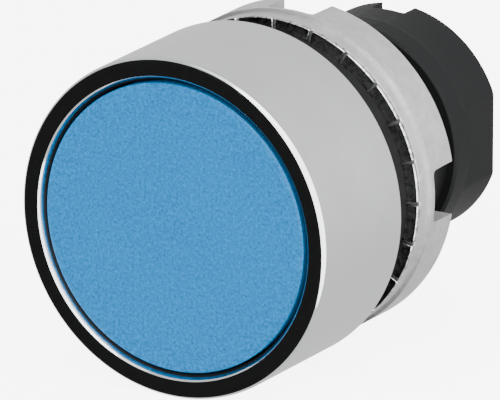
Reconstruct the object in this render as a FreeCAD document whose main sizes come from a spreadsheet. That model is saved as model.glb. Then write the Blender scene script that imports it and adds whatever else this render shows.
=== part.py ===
"""Operator head of a 22 mm industrial push button, with chromed bezel, flush cap and ring nut.

The press axis lies along Y. The cap faces -Y, +Z is up, and the origin is on the press axis where the
gasket meets the front of the panel. Every sub-part is drawn by its depth behind the front rim, so its
body is placed forward of the panel by seat_depth. All sizes are in millimetres.
"""
import FreeCAD
import Part
import Sketcher
import os

# The driving dimensions. A depth is measured back from the front rim, a radius from the press axis.
# The overrun is how far a cutting block runs past the face that it opens.
DIMENSIONS = {
    "seat_depth": 16.3,
    "overrun": 1.0,
    # bezel
    "bezel_radius": 14.75,
    "bezel_back": 12.5,
    "lip_radius": 13.05,
    "lip_depth": 0.14,
    "bore_radius": 12.68,
    "bevel_end": 0.9,
    "recess_radius": 13.6,
    "recess_start": 8.4,
    "bezel_edge_round": 0.7,
    "bezel_back_chamfer": 0.12,
    # bezel seal and its lock ring
    "seal_inner_radius": 12.75,
    "flange_front": 9.2,
    "flange_radius": 13.55,
    "flange_back": 11.75,
    "lock_groove_radius": 14.0,
    "lock_ring_radius": 13.95,
    "lock_ring_inner_radius": 12.7,
    "lock_ring_back": 12.25,
    "lock_ring_gap": 5.0,
    # neck
    "shoulder_radius": 12.6,
    "neck_radius": 10.95,
    "neck_back": 25.6,
    "neck_edge_chamfer": 0.4,
    "neck_bore_radius": 8.5,
    "keyway_width": 3.2,
    "keyway_bottom": 9.9,
    # wiper seal, its retainer and the guide bush
    "pocket_radius": 10.0,
    "retainer_back": 9.9,
    "retainer_inner_radius": 8.0,
    "pocket_floor": 11.4,
    "wiper_lip_radius": 7.64,
    "wiper_root_radius": 8.3,
    "wiper_lip_width": 0.5,
    "wiper_lip_land": 0.25,
    "wiper_heel_width": 0.6,
    "bush_radius": 8.7,
    "bush_inner_radius": 7.65,
    "bush_back": 15.0,
    # bumper ring
    "bumper_inner_radius": 10.3,
    "bumper_radius": 11.1,
    "bumper_front": 8.1,
    # cap and its carrier
    "cap_radius": 12.5,
    "cap_front": 0.2,
    "cap_wall_back": 1.9,
    "cap_skirt_back": 4.2,
    "cap_inner_radius": 11.35,
    "cap_edge_round": 0.5,
    "carrier_radius": 11.25,
    "bead_front": 2.9,
    "bead_middle": 3.25,
    "bead_back": 3.5,
    "bead_radius": 11.1,
    "bead_groove_radius": 10.95,
    "carrier_back": 4.05,
    "collar_radius": 9.0,
    "collar_back": 5.1,
    # plunger
    "stem_radius": 7.6,
    "stem_inner_radius": 6.0,
    "stem_front": 2.9,
    "stop_front": 15.05,
    "stop_back": 16.3,
    "stop_radius": 8.3,
    "tail_radius": 5.4,
    "tail_inner_radius": 4.0,
    "stem_cavity_back": 14.5,
    "tail_step": 32.4,
    "tail_tip_radius": 4.9,
    "tail_tip": 34.9,
    "clip_groove_radius": 4.4,
    "plate_back": 33.9,
    "clip_back": 34.3,
    # plate that presses the contact blocks, and its clip
    "plate_radius": 7.9,
    "plate_notch_width": 2.4,
    "plate_notch_bottom": 6.9,
    "foot_width": 3.4,
    "foot_inner": 6.4,
    "foot_outer": 7.7,
    "foot_root": 33.4,
    "foot_tip": 36.2,
    "clip_radius": 6.2,
    "clip_gap": 5.6,
    "clip_gap_start": 0.5,
    # return spring and the washer under it
    "spring_radius": 6.8,
    "wire_radius": 0.4,
    "spring_turns": 7.0,
    "seat_front": 28.0,
    "seat_inner_radius": 5.6,
    # rear body
    "web_front": 28.6,
    "web_back": 30.2,
    "web_hole_radius": 5.5,
    "spigot_front": 22.6,
    "spigot_radius": 8.45,
    "spring_bore_radius": 7.5,
    "waist_radius": 9.3,
    "sleeve_front": 29.4,
    "sleeve_radius": 10.22,
    "sleeve_edge_radius": 9.95,
    "sleeve_edge_depth": 29.6,
    "sleeve_band_back": 31.6,
    "sleeve_taper_back": 32.2,
    "sleeve_rear_radius": 10.05,
    "socket_radius": 8.9,
    "rear_end": 37.0,
    "rear_edge_round": 0.25,
    "flat_distance": 9.4,
    "flat_start": 31.6,
    "rear_slot_width": 3.2,
    "rear_slot_start": 35.1,
    "rib_width": 2.0,
    "rib_inner": 7.2,
    "rib_outer": 9.1,
    "rib_back": 36.2,
    # ring that locks the rear body in the neck
    "rear_ring_front": 24.0,
    "rear_ring_back": 24.6,
    "rear_ring_inner_radius": 8.05,
    "rear_ring_radius": 8.9,
    "rear_ring_groove_radius": 8.95,
    "rear_ring_gap": 4.0,
    # panel gasket
    "gasket_radius": 13.0,
    "gasket_flange_radius": 14.0,
    "gasket_inner_radius": 11.1,
    "gasket_flange_back": 13.3,
    # tooth washer
    "washer_radius": 14.1,
    "washer_inner_radius": 11.1,
    "washer_back": 16.8,
    "tooth_slot_width": 0.45,
    "tooth_slot_bottom": 12.3,
    "tooth_count": 24.0,
    "tongue_width": 3.0,
    "tongue_inner": 10.1,
    "tongue_root": 11.4,
    # ring nut
    "nut_bore_radius": 11.0,
    "nut_collar_radius": 14.0,
    "nut_collar_back": 18.3,
    "nut_radius": 14.3,
    "nut_back": 22.0,
    "nut_slot_width": 4.6,
    "nut_slot_start": 18.85,
    "nut_edge_chamfer": 0.25,
}
SMALL = 1e-4  # a length or volume change too small to count

doc = FreeCAD.newDocument("push_button")
dims = doc.addObject("Spreadsheet::Sheet", "dims")
for row, (alias, size) in enumerate(DIMENSIONS.items(), 1):
    dims.set(f"A{row}", alias)
    dims.set(f"B{row}", str(size))
    dims.setAlias(f"B{row}", alias)
doc.recompute()


def value_of(formula):
    """The number that a sum of dimension names and numbers stands for."""
    total, sign = 0.0, 1.0
    for word in formula.split():
        if word in ("+", "-"):
            sign = 1.0 if word == "+" else -1.0
        else:
            total += sign * (dims.get(word) if word in DIMENSIONS else float(word))
    return total


def bound(formula):
    """The same sum as an expression that reads the sheet."""
    return " ".join(f"dims.{word}" if word in DIMENSIONS else word for word in formula.split())


def new_body(label):
    """An empty body whose depths are measured from the front rim."""
    body = doc.addObject("PartDesign::Body", label)
    body.Label = label
    body.setExpression("Placement.Base.y", "-dims.seat_depth")
    return body


def new_sketch(body, name, role):
    """An empty sketch on one of the body's own origin planes."""
    plane = next(item for item in body.Origin.OriginFeatures if item.Role == role)
    sketch = body.newObject("Sketcher::SketchObject", name)
    sketch.AttachmentSupport = (plane, [""])
    sketch.MapMode = "FlatFace"
    return sketch


def pin_point(sketch, line, formulas):
    """Holds the first end of a line at a point given by two formulas, across and up."""
    for kind, axis, formula in (("DistanceX", -2, formulas[0]), ("DistanceY", -1, formulas[1])):
        if formula == "0":
            sketch.addConstraint(Sketcher.Constraint("PointOnObject", line, 1, axis))
        else:
            number = sketch.addConstraint(
                Sketcher.Constraint(kind, -1, 1, line, 1, value_of(formula)))
            sketch.setExpression(f"Constraints[{number}]", bound(formula))


def draw_outline(sketch, outline):
    """A closed outline with each corner pinned to its formulas."""
    corners = [FreeCAD.Vector(value_of(x), value_of(y), 0) for x, y in outline]
    for number, corner in enumerate(corners):
        sketch.addGeometry(Part.LineSegment(corner, corners[(number + 1) % len(corners)]), False)
    for number, formulas in enumerate(outline):
        sketch.addConstraint(Sketcher.Constraint(
            "Coincident", (number - 1) % len(corners), 2, number, 1))
        pin_point(sketch, number, formulas)


def turned(label, outline):
    """A body turned about the press axis from an outline of (radius, depth) formulas."""
    body = new_body(label)
    sketch = new_sketch(body, label + "_profile", "XY_Plane")
    draw_outline(sketch, outline)
    turn = body.newObject("PartDesign::Revolution", label + "_turn")
    turn.Profile = sketch
    turn.ReferenceAxis = (sketch, ["V_Axis"])
    turn.Angle = 360
    body.Tip = turn
    doc.recompute()
    return body


def ring(label, inner, outer, front, back):
    """A plain turned ring."""
    return turned(label, [(inner, front), (outer, front), (outer, back), (inner, back)])


def block(body, name, kind, width, low, high, start, length, turn=0.0):
    """A rectangular Pocket or Pad, centred on a line out from the axis, between the radii low and high.

    It starts at a depth and runs back by length. Turn is the angle of its line, from 12 o'clock.
    """
    volume = body.Shape.Volume
    sketch = new_sketch(body, f"{body.Name}_{name}_profile", "XZ_Plane")
    sketch.AttachmentOffset = FreeCAD.Placement(
        FreeCAD.Vector(0, 0, -value_of(start)), FreeCAD.Rotation(FreeCAD.Vector(0, 0, 1), turn))
    sketch.setExpression("AttachmentOffset.Base.z", f"-({bound(start)})")
    half = value_of(width) / 2
    corners = [
        FreeCAD.Vector(-half, value_of(low), 0), FreeCAD.Vector(half, value_of(low), 0),
        FreeCAD.Vector(half, value_of(high), 0), FreeCAD.Vector(-half, value_of(high), 0)]
    for number, corner in enumerate(corners):
        sketch.addGeometry(Part.LineSegment(corner, corners[(number + 1) % 4]), False)
    for number in range(4):
        sketch.addConstraint(Sketcher.Constraint("Coincident", (number - 1) % 4, 2, number, 1))
    for direction, line in (("Vertical", 1), ("Horizontal", 2), ("Vertical", 3)):
        sketch.addConstraint(Sketcher.Constraint(direction, line))
    sketch.addConstraint(Sketcher.Constraint("Symmetric", 0, 1, 0, 2, -2))
    sizes = (
        (Sketcher.Constraint("DistanceX", 0, 1, 0, 2, value_of(width)), width),
        (Sketcher.Constraint("DistanceY", -1, 1, 0, 1, value_of(low)), low),
        (Sketcher.Constraint("DistanceY", -1, 1, 2, 1, value_of(high)), high))
    for constraint, formula in sizes:
        number = sketch.addConstraint(constraint)
        sketch.setExpression(f"Constraints[{number}]", bound(formula))
    feature = body.newObject(f"PartDesign::{kind}", f"{body.Name}_{name}")
    feature.Profile = sketch
    feature.setExpression("Length", bound(length))
    feature.Reversed = kind == "Pad"
    body.Tip = feature
    doc.recompute()
    changed = volume - body.Shape.Volume if kind == "Pocket" else body.Shape.Volume - volume
    if changed < SMALL:
        raise RuntimeError(f"{feature.Name} changes nothing")
    return feature


def repeat_round(body, feature, count):
    """Copies of a feature spaced evenly about the press axis."""
    axis = next(item for item in body.Origin.OriginFeatures if item.Role == "Y_Axis")
    pattern = body.newObject("PartDesign::PolarPattern", feature.Name + "_round")
    pattern.Originals = [feature]
    pattern.Axis = (axis, [""])
    pattern.Angle = 360
    pattern.Occurrences = int(count)
    body.Tip = pattern
    doc.recompute()
    return pattern


def soften(body, kind, size, rims):
    """A Fillet or Chamfer on the full-circle edges at the given (radius, depth) formulas."""
    volume = body.Shape.Volume
    base = body.Tip
    names = []
    for number, edge in enumerate(base.Shape.Edges, 1):
        if not hasattr(edge.Curve, "Radius"):
            continue
        for radius, depth in rims:
            if (abs(edge.Curve.Radius - value_of(radius)) < SMALL
                    and abs(edge.Curve.Center.y - value_of(depth)) < SMALL):
                names.append(f"Edge{number}")
    if not names:
        raise RuntimeError(f"{body.Label} has no edge to soften")
    feature = body.newObject(f"PartDesign::{kind}", f"{body.Name}_{size}")
    feature.Base = (base, names)
    feature.setExpression("Radius" if kind == "Fillet" else "Size", bound(size))
    body.Tip = feature
    doc.recompute()
    if abs(volume - body.Shape.Volume) < SMALL:
        raise RuntimeError(f"{feature.Name} changes nothing")
    return feature


# ---- bezel: die-cast shell with a polished lip, and a recess at the back for the neck's flange
bezel = turned("bezel", [
    ("bezel_radius", "0"),
    ("bezel_radius", "bezel_back"),
    ("recess_radius", "bezel_back"),
    ("recess_radius", "lock_ring_back"),
    ("lock_groove_radius", "lock_ring_back"),
    ("lock_groove_radius", "flange_back"),
    ("recess_radius", "flange_back"),
    ("recess_radius", "recess_start"),
    ("bore_radius", "recess_start"),
    ("bore_radius", "bevel_end"),
    ("lip_radius", "lip_depth"),
    ("lip_radius + lip_depth", "0"),
])
soften(bezel, "Fillet", "bezel_edge_round", [("bezel_radius", "0")])
soften(bezel, "Chamfer", "bezel_back_chamfer", [("bezel_radius", "bezel_back")])

# ---- static seal between the bezel's step and the neck's flange, and the ring that holds them
ring("bezel_seal", "seal_inner_radius", "flange_radius", "recess_start", "flange_front")
bezel_lock_ring = ring(
    "bezel_lock_ring", "lock_ring_inner_radius", "lock_ring_radius", "flange_back", "lock_ring_back")
block(bezel_lock_ring, "gap", "Pocket", "lock_ring_gap", "lock_ring_inner_radius - overrun",
      "lock_ring_radius + overrun", "flange_back", "lock_ring_back - flange_back", turn=180)

# ---- neck body: flange, threaded neck with a keyway, and the bores for seal, bush and spring
neck_body = turned("neck_body", [
    ("pocket_radius", "flange_front"),
    ("flange_radius", "flange_front"),
    ("flange_radius", "flange_back"),
    ("shoulder_radius", "flange_back"),
    ("shoulder_radius", "bezel_back"),
    ("neck_radius", "bezel_back"),
    ("neck_radius", "neck_back"),
    ("neck_bore_radius", "neck_back"),
    ("neck_bore_radius", "rear_ring_back"),
    ("rear_ring_groove_radius", "rear_ring_back"),
    ("rear_ring_groove_radius", "rear_ring_front"),
    ("neck_bore_radius", "rear_ring_front"),
    ("neck_bore_radius", "bush_back"),
    ("bush_radius", "bush_back"),
    ("bush_radius", "pocket_floor"),
    ("pocket_radius", "pocket_floor"),
])
soften(neck_body, "Chamfer", "neck_edge_chamfer", [("neck_radius", "neck_back")])
block(neck_body, "keyway", "Pocket", "keyway_width", "keyway_bottom", "neck_radius + overrun",
      "seat_depth", "neck_back - seat_depth + overrun")

# ---- wiper seal on the plunger's stem, its pressed retainer, the guide bush and the bumper ring
turned("wiper_seal", [
    ("wiper_lip_radius", "retainer_back"),
    ("wiper_lip_radius + wiper_lip_land", "retainer_back"),
    ("wiper_root_radius", "retainer_back + wiper_lip_width"),
    ("pocket_radius - wiper_heel_width - wiper_lip_width", "retainer_back + wiper_lip_width"),
    ("pocket_radius - wiper_lip_width", "retainer_back"),
    ("pocket_radius", "retainer_back"),
    ("pocket_radius", "pocket_floor"),
    ("wiper_root_radius", "pocket_floor"),
    ("wiper_lip_radius", "retainer_back + wiper_lip_width"),
])
ring("seal_retainer", "retainer_inner_radius", "pocket_radius", "flange_front", "retainer_back")
ring("guide_bush", "bush_inner_radius", "bush_radius", "pocket_floor", "bush_back")
ring("bumper_ring", "bumper_inner_radius", "bumper_radius", "bumper_front", "flange_front")

# ---- flush cap that snaps over its carrier
button_cap = turned("button_cap", [
    ("0", "cap_front"),
    ("cap_radius", "cap_front"),
    ("cap_radius", "cap_skirt_back"),
    ("cap_inner_radius", "cap_skirt_back"),
    ("cap_inner_radius", "bead_back"),
    ("bead_radius", "bead_middle"),
    ("cap_inner_radius", "bead_front"),
    ("cap_inner_radius", "cap_wall_back"),
    ("0", "cap_wall_back"),
])
soften(button_cap, "Fillet", "cap_edge_round", [("cap_radius", "cap_front")])
turned("cap_carrier", [
    ("0", "cap_wall_back"),
    ("carrier_radius", "cap_wall_back"),
    ("carrier_radius", "bead_front"),
    ("bead_groove_radius", "bead_middle"),
    ("carrier_radius", "bead_back"),
    ("carrier_radius", "carrier_back"),
    ("collar_radius", "carrier_back"),
    ("collar_radius", "collar_back"),
    ("stem_radius", "collar_back"),
    ("stem_radius", "stem_front"),
    ("0", "stem_front"),
])

# ---- hollow plunger: stem in the guide bush, stop shoulder, and a tail through the rear body
turned("plunger", [
    ("stem_inner_radius", "stem_front"),
    ("stem_radius", "stem_front"),
    ("stem_radius", "stop_front"),
    ("stop_radius", "stop_front"),
    ("stop_radius", "stop_back"),
    ("tail_radius", "stop_back"),
    ("tail_radius", "tail_step"),
    ("tail_tip_radius", "tail_step"),
    ("tail_tip_radius", "plate_back"),
    ("clip_groove_radius", "plate_back"),
    ("clip_groove_radius", "clip_back"),
    ("tail_tip_radius", "clip_back"),
    ("tail_tip_radius", "tail_tip"),
    ("tail_inner_radius", "tail_tip"),
    ("tail_inner_radius", "stem_cavity_back"),
    ("stem_inner_radius", "stem_cavity_back"),
])

# ---- plate with two feet that press the contact blocks, held on the tail by a clip
actuator_plate = ring("actuator_plate", "tail_tip_radius", "plate_radius", "tail_step", "plate_back")
notch = block(actuator_plate, "notch", "Pocket", "plate_notch_width", "plate_notch_bottom",
              "plate_radius + overrun", "tail_step", "plate_back - tail_step", turn=90)
repeat_round(actuator_plate, notch, 2)
foot = block(actuator_plate, "foot", "Pad", "foot_width", "foot_inner", "foot_outer",
             "foot_root", "foot_tip - foot_root")
repeat_round(actuator_plate, foot, 2)
stem_clip = ring("stem_clip", "clip_groove_radius", "clip_radius", "plate_back", "clip_back")
block(stem_clip, "gap", "Pocket", "clip_gap", "clip_gap_start", "clip_radius + overrun",
      "plate_back", "clip_back - plate_back", turn=90)

# ---- return spring and the steel washer under it
return_spring = new_body("return_spring")
wire = new_sketch(return_spring, "wire_section", "XY_Plane")
wire.addGeometry(Part.Circle(
    FreeCAD.Vector(value_of("spring_radius"), value_of("stop_back + wire_radius"), 0),
    FreeCAD.Vector(0, 0, 1), value_of("wire_radius")), False)
for kind, formula in (("DistanceX", "spring_radius"), ("DistanceY", "stop_back + wire_radius")):
    number = wire.addConstraint(Sketcher.Constraint(kind, -1, 1, 0, 3, value_of(formula)))
    wire.setExpression(f"Constraints[{number}]", bound(formula))
number = wire.addConstraint(Sketcher.Constraint("Radius", 0, value_of("wire_radius")))
wire.setExpression(f"Constraints[{number}]", bound("wire_radius"))
coil = return_spring.newObject("PartDesign::AdditiveHelix", "coil")
coil.Profile = wire
coil.ReferenceAxis = (wire, ["V_Axis"])
coil.Mode = "height-turns-angle"
coil.setExpression("Height", bound("seat_front - stop_back - wire_radius - wire_radius"))
coil.setExpression("Turns", "dims.spring_turns")
coil.Angle = 0
return_spring.Tip = coil
ring("spring_seat", "seat_inner_radius", "spring_bore_radius", "seat_front", "web_front")

# ---- rear body: spigot in the neck, waist, and the sleeve that the contact carrier slides over
rear_body = turned("rear_body", [
    ("spring_bore_radius", "spigot_front"),
    ("spigot_radius", "spigot_front"),
    ("spigot_radius", "rear_ring_front"),
    ("rear_ring_inner_radius", "rear_ring_front"),
    ("rear_ring_inner_radius", "rear_ring_back"),
    ("spigot_radius", "rear_ring_back"),
    ("spigot_radius", "neck_back"),
    ("waist_radius", "neck_back"),
    ("waist_radius", "sleeve_front"),
    ("sleeve_edge_radius", "sleeve_front"),
    ("sleeve_radius", "sleeve_edge_depth"),
    ("sleeve_radius", "sleeve_band_back"),
    ("sleeve_rear_radius", "sleeve_taper_back"),
    ("sleeve_rear_radius", "rear_end"),
    ("socket_radius", "rear_end"),
    ("socket_radius", "web_back"),
    ("web_hole_radius", "web_back"),
    ("web_hole_radius", "web_front"),
    ("spring_bore_radius", "web_front"),
])
soften(rear_body, "Fillet", "rear_edge_round", [("sleeve_rear_radius", "rear_end")])
flat = block(rear_body, "flat", "Pocket", "sleeve_radius + sleeve_radius", "flat_distance",
             "sleeve_radius + overrun", "flat_start", "rear_end - flat_start", turn=90)
repeat_round(rear_body, flat, 2)
rear_slot = block(rear_body, "slot", "Pocket", "rear_slot_width", "socket_radius - overrun",
                  "sleeve_radius + overrun", "rear_slot_start", "rear_end - rear_slot_start")
repeat_round(rear_body, rear_slot, 2)
guide_rib = block(rear_body, "rib", "Pad", "rib_width", "rib_inner", "rib_outer",
                  "web_back", "rib_back - web_back", turn=90)
repeat_round(rear_body, guide_rib, 2)
rear_lock_ring = ring(
    "rear_lock_ring", "rear_ring_inner_radius", "rear_ring_radius", "rear_ring_front", "rear_ring_back")
block(rear_lock_ring, "gap", "Pocket", "rear_ring_gap", "rear_ring_inner_radius - overrun",
      "rear_ring_radius + overrun", "rear_ring_front", "rear_ring_back - rear_ring_front", turn=180)

# ---- panel gasket with a flange against the bezel, and the washer: its teeth grip the panel from behind,
# and its tongue runs in the neck's keyway
turned("panel_gasket", [
    ("gasket_inner_radius", "bezel_back"),
    ("gasket_flange_radius", "bezel_back"),
    ("gasket_flange_radius", "gasket_flange_back"),
    ("gasket_radius", "gasket_flange_back"),
    ("gasket_radius", "seat_depth"),
    ("gasket_inner_radius", "seat_depth"),
])
tooth_washer = ring("tooth_washer", "washer_inner_radius", "washer_radius", "seat_depth", "washer_back")
tooth_slot = block(tooth_washer, "tooth_slot", "Pocket", "tooth_slot_width", "tooth_slot_bottom",
                   "washer_radius + overrun", "seat_depth", "washer_back - seat_depth")
repeat_round(tooth_washer, tooth_slot, dims.get("tooth_count"))
block(tooth_washer, "tongue", "Pad", "tongue_width", "tongue_inner", "tongue_root",
      "seat_depth", "washer_back - seat_depth")

# ---- ring nut with four wrench slots in its rear edge
ring_nut = turned("ring_nut", [
    ("nut_bore_radius", "washer_back"),
    ("nut_collar_radius", "washer_back"),
    ("nut_collar_radius", "nut_collar_back"),
    ("nut_radius", "nut_collar_back"),
    ("nut_radius", "nut_back"),
    ("nut_bore_radius", "nut_back"),
])
soften(ring_nut, "Chamfer", "nut_edge_chamfer",
       [("nut_radius", "nut_back"), ("nut_collar_radius", "washer_back")])
wrench_slot = block(ring_nut, "wrench_slot", "Pocket", "nut_slot_width", "nut_bore_radius - overrun",
                    "nut_radius + overrun", "nut_slot_start", "nut_back - nut_slot_start")
repeat_round(ring_nut, wrench_slot, 4)

doc.recompute()
for item in doc.Objects:
    if "Invalid" in item.State or "Error" in item.State:
        raise RuntimeError(f"{item.Name} failed: {item.State}")
bodies = [item for item in doc.Objects if item.TypeId == "PartDesign::Body"]
for body in bodies:
    if body.Shape.isNull() or not body.Shape.isValid() or not body.Shape.Solids:
        raise RuntimeError(f"{body.Label} has no valid solid")
os.makedirs("parts", exist_ok=True)
for body in bodies:
    body.Shape.exportStep(f"parts/{body.Label}.step")
    box = body.Shape.BoundBox
    print(f"{body.Label:16s} solids {len(body.Shape.Solids)}  volume {body.Shape.Volume:9.2f}  "
          f"x {box.XMin:7.2f} {box.XMax:7.2f}  y {box.YMin:7.2f} {box.YMax:7.2f}  "
          f"z {box.ZMin:7.2f} {box.ZMax:7.2f}")
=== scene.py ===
"""Looks for a 22 mm push-button operator head: chromed bezel, blue cap, toothed washer, slotted nut.

The press axis lies along Y, the cap faces -Y and +Z is up. Depths are measured back from the front rim.
"""
import math

import bmesh
import bpy
from mathutils import Matrix, Vector


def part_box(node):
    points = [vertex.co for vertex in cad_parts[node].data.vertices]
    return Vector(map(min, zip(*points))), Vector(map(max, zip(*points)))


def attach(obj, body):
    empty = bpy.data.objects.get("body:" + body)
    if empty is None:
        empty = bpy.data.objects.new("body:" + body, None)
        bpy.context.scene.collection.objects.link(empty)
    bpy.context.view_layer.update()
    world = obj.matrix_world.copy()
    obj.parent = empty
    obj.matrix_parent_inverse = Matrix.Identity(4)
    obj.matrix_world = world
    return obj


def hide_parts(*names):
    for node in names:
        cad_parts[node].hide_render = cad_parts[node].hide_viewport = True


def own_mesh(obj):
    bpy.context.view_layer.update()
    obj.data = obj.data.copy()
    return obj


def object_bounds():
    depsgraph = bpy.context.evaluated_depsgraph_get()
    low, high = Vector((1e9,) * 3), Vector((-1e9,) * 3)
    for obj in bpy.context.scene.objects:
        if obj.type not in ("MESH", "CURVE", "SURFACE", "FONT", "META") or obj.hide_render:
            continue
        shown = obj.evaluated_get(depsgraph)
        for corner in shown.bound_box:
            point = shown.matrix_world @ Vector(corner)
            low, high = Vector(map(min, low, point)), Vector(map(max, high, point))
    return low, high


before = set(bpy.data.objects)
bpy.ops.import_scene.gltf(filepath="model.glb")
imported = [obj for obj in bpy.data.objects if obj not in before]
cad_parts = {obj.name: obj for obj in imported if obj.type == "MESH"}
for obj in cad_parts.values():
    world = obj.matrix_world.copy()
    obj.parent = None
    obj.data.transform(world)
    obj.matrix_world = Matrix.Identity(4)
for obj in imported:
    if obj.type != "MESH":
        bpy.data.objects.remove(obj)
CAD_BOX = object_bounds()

bl_info = {
    "name": "Push-button operator head",
    "version": (1, 0, 0),
    "blender": (4, 5, 0),
    "location": "3D View > Sidebar > Push button",
    "description": "Builds the visible pieces and finishes of a panel push-button head around its frame",
    "category": "Add Mesh",
}

MM = 0.001
FULL_TURN = 2 * math.pi
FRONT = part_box("bezel")[0].y  # the front rim, from which depths are measured
COLUMNS = 192                 # flats round a turned piece, few enough to be light and too fine to see
MERGE = 0.5e-6                # points nearer than this are one point
FINE = 0.01 * MM              # a step too small to see
SHARP = math.radians(35)
TURNED_COLUMNS = 256          # flats round the large shiny pieces
# the third material is a painted shade for the bore, a dark grey for the deep gap round the cap
SATIN, PAINTED_BORE_SHADE = 1, 2            # the shell's second and third materials


def reach(node):
    """Outside radius of a round CAD node."""
    low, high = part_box(node)
    return max(high.x, -low.x, high.z, -low.z)


def front_of(node):
    """Depth of a CAD node's front behind the rim."""
    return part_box(node)[0].y - FRONT


def back_of(node):
    """Depth of a CAD node's back behind the rim."""
    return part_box(node)[1].y - FRONT


def linear(hex_colour):
    """An sRGB hex colour as linear red, green, blue and alpha."""
    channels = [int(hex_colour[i:i + 2], 16) / 255 for i in (1, 3, 5)]
    return [c / 12.92 if c <= 0.04045 else ((c + 0.055) / 1.055) ** 2.4 for c in channels] + [1.0]


# ---------------------------------------------------------------- settings

def size(name, description, millimetres):
    """A length that a user may change, in metres."""
    return bpy.props.FloatProperty(
        name=name, description=description, default=millimetres * MM, unit="LENGTH", precision=5)


def tint(name, description, hex_colour):
    """A colour that a user may change."""
    return bpy.props.FloatVectorProperty(
        name=name, description=description, default=linear(hex_colour), size=4, subtype="COLOR",
        min=0, max=1)


class BezelSettings(bpy.types.PropertyGroup):
    """Sizes and colour of the metal shell round the cap."""
    lip_radius: size("Lip radius", "Inner edge of the polished front lip", 13.05)
    bore_radius: size("Bore radius", "Bore that the cap moves in", 12.68)
    bevel_depth: size("Bevel depth", "Where the lip's inner bevel meets the bore", 0.9)
    # below this depth the bore's faces carry a painted shade, a dark grey in place of the chrome
    plated_depth: size("Plated depth", "How far down the inner bevel the plating is bright", 0.48)
    edge_depth: size("Edge depth", "How far back the rounded outer edge runs", 0.45)
    edge_width: size("Edge width", "How far in the rounded outer edge runs", 0.5)
    lip_chamfer: size("Lip chamfer", "Chamfer between the lip's face and its inner bevel", 0.14)
    corner: size("Corner", "Rounding of the lip's and the back's corners", 0.12)
    fine_corner: size("Fine corner", "Rounding of the corners that stay crisp", 0.05)
    bore_corner: size("Bore corner", "Rounding where the inner bevel meets the bore", 0.3)
    groove_play: size("Groove play", "Room round the lock ring in its groove", 0.05)
    step_depth: size("Step depth", "Depth of the step that the seal sits on", 8.4)
    recess_radius: size("Recess radius", "Recess for the neck's flange", 13.6)
    plate: tint("Chrome", "Colour of the chrome plate", "#D0D2D4")
    satin: tint("Satin side", "Colour of the satin side of the shell", "#CDCECF")


class CapSettings(bpy.types.PropertyGroup):
    """Sizes and colour of the flush cap."""
    edge_width: size("Edge width", "How far in the rounding of the rim runs", 0.6)
    edge_drop: size("Edge drop", "How far back the rounding of the rim runs", 0.2)
    wall: size("Wall", "Thickness of the cap's face", 1.7)
    skirt: size("Skirt", "Thickness of the cap's skirt", 1.15)
    crown: size("Crown", "How far the rim falls behind the middle of the face", 0.06)
    skirt_corner: size("Skirt corner", "Rounding outside the skirt's end", 0.15)
    inner_corner: size("Inner corner", "Rounding inside the skirt's end", 0.1)
    fillet: size("Fillet", "Rounding where the skirt meets the face inside", 0.3)
    plastic: tint("Cap colour", "Colour of the moulded cap", "#008EDA")


class GasketSettings(bpy.types.PropertyGroup):
    """Sizes and colour of the panel gasket."""
    bore_radius: size("Bore radius", "Bore over the neck", 11.1)
    radius: size("Radius", "Smooth outside that shows behind the bezel", 13.0)
    flange: size("Flange", "Thickness of the flange that seals against the bezel", 0.8)
    flange_corner: size("Flange corner", "Rounding of the flange's front", 0.1)
    corner: size("Corner", "Rounding behind the flange and at its root", 0.2)
    back_corner: size("Back corner", "Rounding at the panel", 0.06)
    rubber: tint("Rubber", "Colour of the gasket's rubber", "#0F0F10")
    dust: tint("Dust", "Colour of the rubber where dust clings", "#1C1C1D")


class WasherSettings(bpy.types.PropertyGroup):
    """Sizes and colour of the toothed washer."""
    bore_radius: size("Bore radius", "Bore over the neck", 11.1)
    teeth: bpy.props.IntProperty(name="Teeth", description="Teeth round the washer", default=24, min=3)
    root_radius: size("Root radius", "Inner end of the gaps between the teeth", 12.3)
    gap: size("Gap", "Gap between two teeth, at its bottom", 0.26)
    tooth_edge: size("Tooth edge", "Rolled edge round each tooth", 0.13)
    tongue_width: size("Tongue width", "Tongue that runs in the neck's keyway", 3.0)
    tongue_radius: size("Tongue radius", "Inner end of the tongue", 10.1)
    corner: size("Corner", "Rounding of the bore's edges", 0.04)
    overlap: size("Overlap", "How far the tongue runs into the hoop", 0.3)
    tooth_root: size("Tooth root", "How far the teeth run into the hoop", 0.1)
    unevenness: bpy.props.FloatProperty(
        name="Unevenness", description="How much the teeth differ in height", default=0.002, min=0)
    plate: tint("Zinc plate", "Colour of the bright zinc plate", "#DADBDC")
    stain: tint("Stain", "Darker mottling of the plate", "#3A3A3B")


class NutSettings(bpy.types.PropertyGroup):
    """Sizes and colour of the ring nut."""
    bore_radius: size("Bore radius", "Bore over the neck's thread", 11.0)
    collar_radius: size("Collar radius", "Narrower front collar", 14.0)
    collar_depth: size("Collar depth", "Where the collar meets the body", 18.3)
    slot_width: size("Slot width", "Width of each wrench slot", 4.6)
    slot_floor: size("Slot floor", "Depth behind the rim of the slots' floors", 18.85)
    slot_corner: size("Slot corner", "Rounding in the slots' corners", 0.5)
    rim_margin: size("Rim margin", "Solid metal ahead of the slots' floors", 0.3)
    edge: size("Edge", "Softening of the cast edges", 0.16)
    alloy: tint("Cast zinc", "Colour of the cast alloy", "#C0C1C0")


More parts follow.
